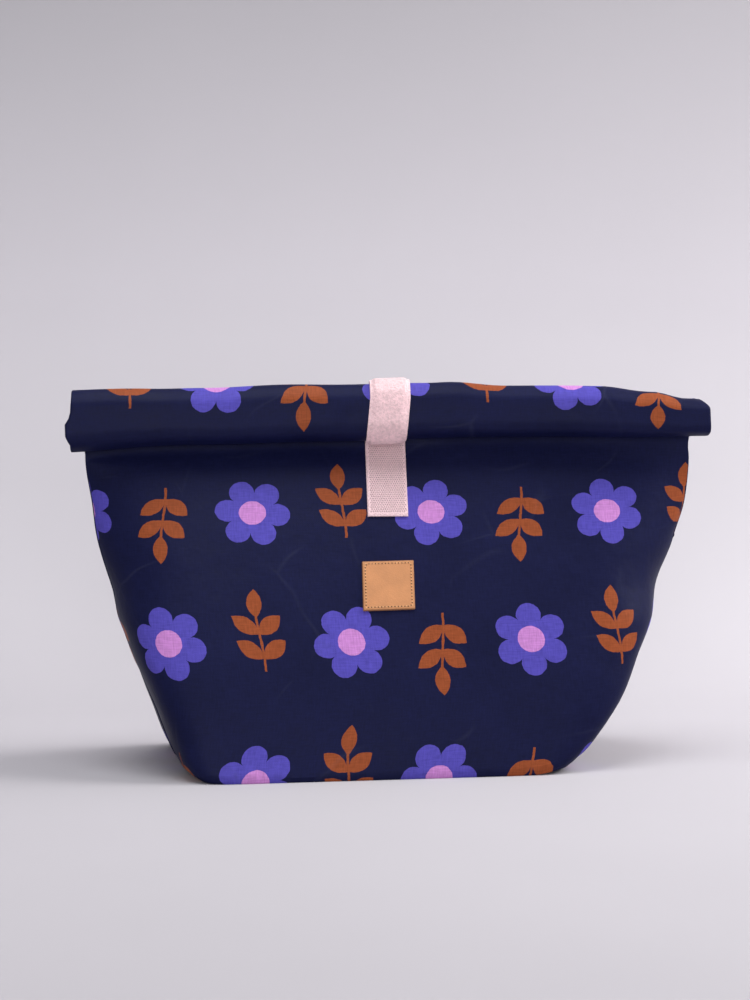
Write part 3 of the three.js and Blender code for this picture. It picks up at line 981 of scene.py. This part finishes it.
def roll_end(side, path):
    """Where a layer of the roll ends: no two layers end at quite the same place."""
    crest = band_path(0)[0]
    if side < 0:
        return along(((crest - 30, 153.0), (crest, 153.4), (crest + 16, 154.3), (crest + 26, 154.8),
                      (crest + 30, 157.4), (crest + 36, 157.2), (crest + 40, 154.9), (crest + 60, 153.0),
                      (crest + 90, 154.5)), path)
    return along(((crest - 30, 156.5), (crest, 157.0), (crest + 12, 158.5), (crest + 22, 162.4),
                  (crest + 38, 162.6), (crest + 60, 159.0), (crest + 90, 160.5)), path)


def roll_ease(point):
    """Eases the roll out of true: it tilts, and it thins toward its right end."""
    share = smooth((point.z - 146) / 12)
    even = (point.z - EVEN_BOTTOM) / (EVEN_TOP - EVEN_BOTTOM)
    z = lerp(along(ROLL_BOTTOM, point.x), along(ROLL_TOP, point.x), even)
    wave = 0.25 * math.sin(point.x * 0.085) + 0.2 * math.sin(point.x * 0.043 + 1.2)
    swell = 0.35 * math.sin(point.x * 0.06 + point.z * 0.1)
    swell -= along(ROLL_BELLY, point.y) * along(BELLY_SHAPE, even)
    dimple = math.exp(-(((point.x - DIMPLE_X) / 4) ** 2)) * math.exp(-(((even - DIMPLE_HEIGHT) / 0.3) ** 2))
    swell += DIMPLE * dimple * smooth((-3 - point.y) / 3)
    return Vector((point.x, point.y + swell * share, lerp(point.z, z + wave, share)))


def band_path(k):
    """The length of cloth from the floor to where crease k starts, for the wall outside and inside.

    The inside leaves the creases out, so that its print meets over them once the sleeve is unrolled.
    """
    outside, inside = wall(1).path(CREASE_TOP), wall(-1).path(CREASE_TOP)
    straight = CREASE_TOP - CREASE_BOTTOM
    for m in range(k):
        outside += math.pi * (crease_shape(m)[0] + WALL_OFFSET) + straight
        inside += straight
    return outside, inside


SIDE_ANGLES = [math.radians(angle) for angle in (-90, -54, -18, 18, 54, 90)]
SLEEVE_COLUMNS = 72
CREASE_CLOTH = 0.3  # thickness of one wall where it bends
TUCK_OUTSIDE, TUCK_INSIDE = 0.12, 0.95  # how far the two faces of a bending sleeve are drawn in


def sleeve_ring(place, outward, path, lift, tuck):
    """A closed row of points round the flattened sleeve. lift shrinks it to the inside face.

    tuck draws the sleeve thinner where it bends, so that it lies within its neighbours once it is unrolled.
    """
    over, under = SLEEVE_HALF - lift - TUCK_OUTSIDE * tuck, -SLEEVE_HALF + lift + TUCK_INSIDE * tuck
    half, middle = (over - under) / 2, (over + under) / 2
    left, right = -roll_end(-1, path) + lift, roll_end(1, path) - lift
    across = [lerp(left + half, right - half, j / SLEEVE_COLUMNS) for j in range(SLEEVE_COLUMNS + 1)]
    ring = [(x, over) for x in across]
    ring += [(right - half + half * math.cos(a), middle + half * math.sin(a)) for a in SIDE_ANGLES[::-1]]
    ring += [(x, under) for x in across[::-1]]
    ring += [(left + half - half * math.cos(a), middle + half * math.sin(a)) for a in SIDE_ANGLES]
    return [roll_ease(place + outward * t + Vector((x, 0, 0))) for x, t in ring]


def sleeve_piece(name, stations, cloth=CLOTH, tucked=False):
    """A stretch of the flattened sleeve through (place, outward, outside path, inside path) stations."""
    outer, inner = [], []
    for i, (place, out, path, _) in enumerate(stations):
        along_bend = i / (len(stations) - 1)
        tuck = smooth(along_bend / 0.22) * smooth((1 - along_bend) / 0.22) if tucked else 0.0
        outer.append(sleeve_ring(place, out, path, 0.0, tuck))
        inner.append(sleeve_ring(place, out, path, cloth, tuck))
    turn = SLEEVE_COLUMNS + 1 + len(SIDE_ANGLES) // 2
    back = turn + SLEEVE_COLUMNS + 1 + len(SIDE_ANGLES)
    columns = len(outer[0])

    def uv(i, j, column):
        x = outer[i][j % columns].x
        if turn <= column < back:
            return x, stations[i][3]
        return x + BACK_PRINT, stations[i][2]

    return shell(name, outer, inner, uv, material("cotton"), ring=True)


def crease_stations(k, count=15):
    """Places along a bend of the roll, each with the way out of the cloth and its two lengths of cloth."""
    radius, toward = crease_shape(k)
    rise = 1 if k % 2 == 0 else -1
    outside, inside = band_path(k)
    stations = []
    for i in range(count):
        a = math.pi * i / (count - 1)
        out = Vector((0, toward * math.cos(a), rise * math.sin(a)))
        stations.append((HINGES[k] + out * radius, out, outside + (radius + WALL_OFFSET) * a, inside))
    return stations


def band_stations(k, count=7):
    """The same along the band that follows a crease."""
    out = Vector((0, -crease_shape(k)[1], 0))
    from_z, to_z = (CREASE_TOP, CREASE_BOTTOM) if k % 2 == 0 else (CREASE_BOTTOM, CREASE_TOP)
    last = crease_stations(k)[-1]
    stations = []
    for i in range(count):
        t = i / (count - 1)
        gone = abs(to_z - from_z) * t
        place = Vector((0, LAYER_Y[k + 1], lerp(from_z, to_z, t)))
        stations.append((place, out, last[2] + gone, last[3] + gone))
    return stations


class LUNCHBAG_OT_roll(bpy.types.Operator):
    """Make the rolled top: four creases, each followed by a band, in one length of cloth"""

    bl_idname = "lunchbag.roll"
    bl_label = "Rolled Top"

    def execute(self, context):
        for k in range(4):
            n = k + 1
            crease = sleeve_piece(f"crease_{n}_cloth", crease_stations(k, 21), CREASE_CLOTH, tucked=True)
            bend(crease, k, "coated_cotton", f"crease_{n}_back_wall", f"crease_{n}_front_wall")
            band = sleeve_piece(f"band_{n}_cloth", band_stations(k))
            nodes = [f"band_{n}_back_wall", f"band_{n}_front_wall"]
            if n == 4:
                nodes += ["mouth_hem_back", "mouth_hem_front"]
            ride(band, BODY_NAMES[n], "coated_cotton", *nodes)
        return {"FINISHED"}


def rounded(share, thickness, soft=0.12):
    """Height of a tape's face across its width, with softened edges."""
    edge = min(1.0, (1 - abs(share)) / soft)
    return thickness * (0.55 + 0.45 * math.sqrt(max(0.0, 1 - (1 - edge) ** 2)))


def pile(share, thickness):
    """Height of the loop tape across its width: flat selvedges and a thick pile between them."""
    return rounded(share, thickness * 0.5, 0.04) + thickness * 0.62 * smooth((0.9 - abs(share)) / 0.16)


def mirrored(*stops):
    """Shares of a half width from one edge to the other, from those of one side."""
    return [-stop for stop in stops] + [0] + list(stops[::-1])


ACROSS = mirrored(1, 0.985, 0.95, 0.9, 0.86, 0.8, 0.7, 0.5, 0.25)
PILE_COLUMNS = range(4, 15)  # the part of them that carries the pile
TAPE_ROWS = 40
TAPE_GAP = 0.1  # between the wall and what is sewn onto it


def tape_on_wall(name, side, low, high, thickness, material_name, shape=rounded, lean=(0.0, 0.0)):
    """A straight tape on a wall, and its outer face. lean is how far its two ends stand to the side."""
    surface = wall(side)
    outer, inner = [], []
    heights = [lerp(low, high, i / (TAPE_ROWS - 1)) for i in range(TAPE_ROWS)]
    for z in heights:
        x = lerp(*lean, (z - low) / (high - low))
        outer.append([surface.place(u * TAPE_HALF + x, z, TAPE_GAP + shape(u, thickness))[0] for u in ACROSS])
        inner.append([surface.place(u * TAPE_HALF + x, z, TAPE_GAP * 0.2)[0] for u in ACROSS])

    def uv(i, j, _):
        return ACROSS[j] * TAPE_HALF, heights[i]

    return shell(name, outer, inner, uv, material(material_name)), outer


def open_grid(points, columns=None):
    """A helper object of one face of a tape, for what grows on it."""
    rows = [[p for j, p in enumerate(row) if columns is None or j in columns] for row in points]
    width = len(rows[0])
    faces = [[i * width + j, i * width + j + 1, (i + 1) * width + j + 1, (i + 1) * width + j]
             for i in range(len(rows) - 1) for j in range(width - 1)]
    return helper_object("face", [p for row in rows for p in row], [], faces)


HOOK_SHIFT = (0.7, 0.85)  # how far the lower and the upper end of the hook tape stand to the side
LOOP_LEAN = 2.6  # the same for the loop tape on the crest of the roll
HOOK_COLUMNS = 16
HOOK_SPACING, HOOK_ROW = 1.1, 1.0  # distance between two hooks of a row, and between two rows


class LUNCHBAG_OT_hook_tape(bpy.types.Operator):
    """Make the hook tape on the front wall, with its rows of hooks and its stitching"""

    bl_idname = "lunchbag.hook_tape"
    bl_label = "Hook Tape"

    def execute(self, context):
        low, high = HOOK_LOW.z, HOOK_HIGH.z
        tape, face = tape_on_wall("hook_tape", -1, low, high, 1.0, "hook", lean=HOOK_SHIFT)
        ride(tape, "bag", "hook_tape", "hook_strip")
        surface = wall(-1)
        spots = []
        row = 0
        z = low + 2.2
        while z < NECK_START:
            stagger = HOOK_SPACING / 2 if row % 2 else 0.0
            x = -8.3 + stagger + lerp(*HOOK_SHIFT, (z - low) / (high - low))
            spots.append([surface.place(x + HOOK_SPACING * j, z, 1.15)[0] for j in range(HOOK_COLUMNS)])
            row += 1
            z += HOOK_ROW
        hooks = grow("hook_tape_hooks", open_grid(spots), ("hooks", peg_tree),
                     {"Height": 0.0009, "Thickness": 0.00062, "Seed": 4, "Material": material("hooks")})
        ride(hooks, "bag", "hook_tape")
        x, top = 9.3, NECK_START - 4.2
        below, above = HOOK_SHIFT
        corners = [(below - x, low + 0.8), (below + x, low + 0.8), (above + x, top), (above - x, top)]
        path = outline_path(corners, 8, 1.08)
        stitches = sew("hook_tape_stitching", path, "tape thread")
        ride(stitches, "bag", "tape_thread", "hook_strip_stitching")
        return {"FINISHED"}


def outline_path(corners, steps, lift, side=-1):
    """Points of a wall along straight runs between corners."""
    surface = wall(side)
    points = []
    for (x0, z0), (x1, z1) in zip(corners, corners[1:] + corners[:1]):
        for i in range(steps):
            points.append(surface.place(lerp(x0, x1, i / steps), lerp(z0, z1, i / steps), lift)[0])
    return points


LOOP_THICKNESS = 1.4
LOOP_MIDDLE = 1.9  # height of the loop tape over the middle of the sleeve


def tape_over_roll(name, stations, lean, puff=0.0):
    """A stretch of loop tape that lies on the sleeve. puff lifts its middle off the cloth."""
    outer, inner = [], []
    for i, (place, out, _, _) in enumerate(stations):
        t = i / (len(stations) - 1)
        lift = SLEEVE_HALF + 0.15 + puff * math.sin(math.pi * t)
        x = lerp(*lean, t)
        across = [(u, Vector((u * TAPE_HALF + x, 0, 0))) for u in ACROSS]
        outer.append([roll_ease(place + out * (lift + pile(u, LOOP_THICKNESS)) + aside)
                      for u, aside in across])
        inner.append([roll_ease(place + out * lift + aside) for _, aside in across])

    def uv(i, j, _):
        return ACROSS[j] * TAPE_HALF, stations[i][2]

    return shell(name, outer, inner, uv, material("loop")), outer


def fuzz(name, face, seed):
    return grow(name, open_grid(face, PILE_COLUMNS), ("fuzz", fuzz_tree),
                {"Density": 8.0e6, "Length": sizes().fuzz_length, "Thickness": 0.00011, "Seed": seed,
                 "Material": material("loop")})


class LUNCHBAG_OT_loop_tape(bpy.types.Operator):
    """Make the fuzzy loop tape, from the back wall over the roll to behind its face"""

    bl_idname = "lunchbag.loop_tape"
    bl_label = "Loop Tape"

    def execute(self, context):
        back, face = tape_on_wall("loop_tape_back", 1, LOOP_BOTTOM, CREASE_TOP, LOOP_THICKNESS, "loop", pile,
                                  (0.0, LOOP_LEAN))
        ride(back, "bag", "loop_tape", "loop_strip_back")
        ride(fuzz("loop_tape_back_fuzz", face, 1), "bag", "loop_tape")
        for k, crease_name, band_name, band_node, puff, leans in (
                (0, "crest", "face", "loop_strip_face", 0.9, (LOOP_LEAN, LOOP_LEAN - 0.3, 0.7)),
                (1, "under", "end", "loop_strip_end", 0.0, (0.7, 0.4, 0.4))):
            piece, face = tape_over_roll(f"loop_tape_{crease_name}", crease_stations(k), leans[:2], puff)
            hair = fuzz(f"loop_tape_{crease_name}_fuzz", face, 2 + k)
            bend(piece, k, "loop_tape", f"loop_strip_{crease_name}", above=LOOP_MIDDLE)
            bend(hair, k, "loop_tape", above=LOOP_MIDDLE)
            piece, face = tape_over_roll(f"loop_tape_{band_name}", band_stations(k), leans[1:])
            hair = fuzz(f"loop_tape_{band_name}_fuzz", face, 4 + k)
            ride(piece, BODY_NAMES[k + 1], "loop_tape", band_node)
            ride(hair, BODY_NAMES[k + 1], "loop_tape")
        x, low, top = 9.4, LOOP_BOTTOM + 0.9, CREASE_TOP - 1.5
        corners = [(-x, low), (x, low), (LOOP_LEAN + x, top), (LOOP_LEAN - x, top)]
        path = outline_path(corners, 10, 0.9, side=1)
        stitches = sew("loop_tape_stitching", path, "tape thread")
        ride(stitches, "bag", "tape_thread", "loop_strip_stitching")
        return {"FINISHED"}


class LUNCHBAG_OT_patch(bpy.types.Operator):
    """Make the bare leather patch with its stitching"""

    bl_idname = "lunchbag.patch"
    bl_label = "Leather Patch"

    def execute(self, context):
        surface = wall(-1)
        half = (PATCH_HIGH.z - PATCH_LOW.z) / 2
        middle = (PATCH_LOW.z + PATCH_HIGH.z) / 2 - 2.5
        radius = 0.5
        slope = 0.9  # the leaning wall foreshortens the patch
        stops = mirrored(1, 0.985, 0.96, 0.92, 0.87, 0.8, 0.6, 0.4, 0.2)
        turn = math.radians(1.2)

        def flat(u, v):
            x, z = u * half, v * half
            inner = half - radius
            if abs(x) > inner and abs(z) > inner:
                away = Vector((abs(x) - inner, abs(z) - inner))
                reach = max(away) / max(1e-6, away.length)
                away *= reach
                x, z = math.copysign(inner + away.x, x), math.copysign(inner + away.y, z)
            return x, z

        def placed(x, z):
            return (x * math.cos(turn) + z * 0.006 - 0.4,
                    middle + (x * math.sin(turn) + z * math.cos(turn)) * slope)

        outer, inner, coords = [], [], []
        for v in stops:
            rows = ([], [], [])
            for u in stops:
                x, z = flat(u, v)
                edge = min(1.0, (1 - max(abs(u), abs(v))) / 0.06)
                lift = 0.1 + 1.2 * (0.6 + 0.4 * math.sqrt(max(0.0, 1 - (1 - edge) ** 2)))
                px, pz = placed(x, z)
                rows[0].append(surface.place(px, pz, lift)[0])
                rows[1].append(surface.place(px, pz, 0.05)[0])
                rows[2].append((x, z))
            outer.append(rows[0])
            inner.append(rows[1])
            coords.append(rows[2])
        patch = shell("leather_patch_hide", outer, inner, lambda i, j, _: coords[i][j], material("leather"))
        ride(patch, "bag", "leather", "leather_patch")
        x = half - 1.5
        corners = [placed(*corner) for corner in ((-x, -x), (x, -x), (x, x), (-x, x))]
        path = outline_path(corners, 11, 1.28)
        pitch = 0.00165
        stitches = sew("patch_stitches", path, "patch thread", 0.0005, pitch, 0.62)
        ride(stitches, "bag", "patch_thread", "patch_stitching")
        shifted = [a.lerp(b, 0.5) for a, b in zip(path, path[1:] + path[:1])]
        # Near-black beads between the stitches: painted shade in the needle holes.
        hole_shade = sew("patch_needle_hole_shade", shifted, "needle hole shade", 0.00072, pitch, 0.34)
        ride(hole_shade, "bag", "patch_thread")
        return {"FINISHED"}


class LUNCHBAG_OT_stage(bpy.types.Operator):
    """Make the floor with its backdrop, the lamps and the camera"""

    bl_idname = "lunchbag.stage"
    bl_label = "Stage"

    def execute(self, context):
        scene = context.scene
        make_floor()
        make_lamps(scene)
        make_camera(scene)
        scene.view_settings.view_transform = "Standard"
        return {"FINISHED"}


def make_floor():
    """A floor that curves up into a backdrop close behind the bag."""
    back, radius = 420.0, 240.0
    profile = [(-3600.0, 0.0), (-600.0, 0.0), (back - radius, 0.0)]
    for i in range(1, 25):
        a = math.radians(90 * i / 24)
        profile.append((back - radius + radius * math.sin(a), radius - radius * math.cos(a)))
    profile += [(back, 600.0), (back, 2600.0)]
    vertices = [Vector((x, y, z)) * MM for y, z in profile for x in (-3000, 3000)]
    faces = [[2 * i, 2 * i + 1, 2 * i + 3, 2 * i + 2] for i in range(len(profile) - 1)]
    # the level floor goes on behind the backdrop
    beyond = len(vertices)
    vertices += [Vector((x, y, -0.3)) * MM for y in (back - radius, 3000.0) for x in (-3000, 3000)]
    faces.append([beyond, beyond + 1, beyond + 3, beyond + 2])
    mesh = bpy.data.meshes.new("floor")
    mesh.from_pydata(vertices, [], faces)
    mesh.shade_smooth()
    surface, n, place = new_material("pale floor", "object")
    cloud = n.spread(n.noise(place, 3.0, 3.0), 0.3, 0.7, 0.97, 1.02)
    across, _, height = n.parts(place)
    # The backdrop's colour carries painted light and shade: painted lighter from 0.12 to 0.25 m up, painted
    # darker above that up to 0.46 m, and darker still on the left.
    backdrop_painted_light = n.spread(height, 0.12, 0.25, 1.0, 1.13)
    backdrop_painted_shade = n.spread(height, 0.24, 0.46, 0.0, 0.42)
    left = n.spread(across, 0.35, -0.35, 0.9, 1.15)
    tone = n.grey(cloud * (backdrop_painted_light - backdrop_painted_shade * left))
    dress(surface, n, n.mix(1.0, rgba(colours().floor), tone, "MULTIPLY"), 0.75, Specular_IOR_Level=0.1)
    # seen from behind, the backdrop lets the bag show
    behind = n.make("ShaderNodeNewGeometry", output="Backfacing")
    solid = n.tree.nodes["Principled BSDF"].outputs[0]
    seen = n.make("ShaderNodeMixShader", {0: behind, 1: solid, 2: n.make("ShaderNodeBsdfTransparent")})
    n.link(seen, n.tree.nodes["Material Output"].inputs["Surface"])
    mesh.materials.append(surface)
    add_object("floor", mesh)


def make_lamps(scene):
    world = bpy.data.worlds.new("soft room")
    world.use_nodes = True
    n = Nodes(world.node_tree)
    sky = world.node_tree.nodes["Background"]
    sky.inputs["Color"].default_value = (0.98, 0.98, 1.0, 1.0)
    rays = n.add("ShaderNodeLightPath").outputs
    seen = n.math("MAXIMUM", rays["Is Camera Ray"],
                  n.math("MAXIMUM", rays["Is Glossy Ray"], rays["Is Transmission Ray"]))
    strength = n.spread(seen, 0.0, 1.0, 0.29, 0.6)
    n.link(strength, sky.inputs["Strength"])
    scene.world = world
    for name, place, size, power, colour in (
            ("key", (1.12, 0.1, 0.92), 0.95, 22.5, (1.0, 0.99, 0.98)),
            ("top", (-0.1, -0.2, 1.2), 0.8, 8.5, (0.95, 0.98, 1.0)),
            ("fill", (-0.2, -3.0, 0.55), 1.5, 36.0, (0.98, 0.98, 1.0))):
        lamp = bpy.data.lights.new(name, "AREA")
        lamp.shape = "DISK"
        lamp.size = size
        lamp.energy = power
        lamp.color = colour
        obj = add_object(name, lamp)
        obj.location = place
        obj.rotation_euler = (Vector((0, 0, 0.08)) - Vector(place)).to_track_quat("-Z", "Y").to_euler()


# Camera, from the photograph: where it stands round the bag and how far its frame reaches
CAMERA_AZIMUTH = -4.0
CAMERA_ELEVATION = 3.5
CAMERA_DISTANCE = 1.25
CAMERA_FOCAL = 2.512  # frame heights at one metre
SENSOR_HEIGHT = 36.0
CAMERA_SIDE = -0.0046
CAMERA_HEIGHT = 0.1293


def make_camera(scene):
    azimuth, elevation = math.radians(CAMERA_AZIMUTH), math.radians(CAMERA_ELEVATION)
    away = Vector((math.sin(azimuth) * math.cos(elevation), -math.cos(azimuth) * math.cos(elevation),
                   math.sin(elevation)))
    right = Vector((math.cos(azimuth), math.sin(azimuth), 0))
    target = right * CAMERA_SIDE + Vector((0, 0, CAMERA_HEIGHT))
    up = away.cross(right)
    data = bpy.data.cameras.new("camera")
    data.sensor_fit = "VERTICAL"
    data.sensor_height = SENSOR_HEIGHT
    data.lens = SENSOR_HEIGHT * CAMERA_FOCAL
    data.clip_start = 0.01
    camera = add_object("camera", data)
    camera.matrix_world = Matrix.Translation(target + away * CAMERA_DISTANCE) @ Matrix(
        (right, up, away)).transposed().to_4x4()
    scene.camera = camera


PIECES = (
    LUNCHBAG_OT_stage, LUNCHBAG_OT_walls, LUNCHBAG_OT_side_seams, LUNCHBAG_OT_base, LUNCHBAG_OT_lining,
    LUNCHBAG_OT_roll, LUNCHBAG_OT_hook_tape, LUNCHBAG_OT_loop_tape, LUNCHBAG_OT_patch)


class LUNCHBAG_PT_panel(bpy.types.Panel):
    """Lists the bag's settings and its pieces"""

    bl_idname = "LUNCHBAG_PT_panel"
    bl_label = "Lunch Bag"
    bl_space_type = "VIEW_3D"
    bl_region_type = "UI"
    bl_category = "Lunch Bag"

    def draw(self, context):
        layout = self.layout
        for settings in (context.scene.lunchbag_sizes, context.scene.lunchbag_colours):
            for name in settings.bl_rna.properties.keys():
                if name not in {"rna_type", "name"}:
                    layout.prop(settings, name)
        for piece in PIECES:
            layout.operator(piece.bl_idname)


CLASSES = (BagSizes, BagColours, *PIECES, LUNCHBAG_PT_panel)


def register():
    for cls in CLASSES:
        bpy.utils.register_class(cls)
    bpy.types.Scene.lunchbag_sizes = bpy.props.PointerProperty(type=BagSizes)
    bpy.types.Scene.lunchbag_colours = bpy.props.PointerProperty(type=BagColours)


def unregister():
    del bpy.types.Scene.lunchbag_colours
    del bpy.types.Scene.lunchbag_sizes
    for cls in reversed(CLASSES):
        bpy.utils.unregister_class(cls)


def main():
    register()
    for piece in PIECES:
        group_name, name = piece.bl_idname.split(".")
        getattr(getattr(bpy.ops, group_name), name)()


if __name__ == "__main__":
    main()
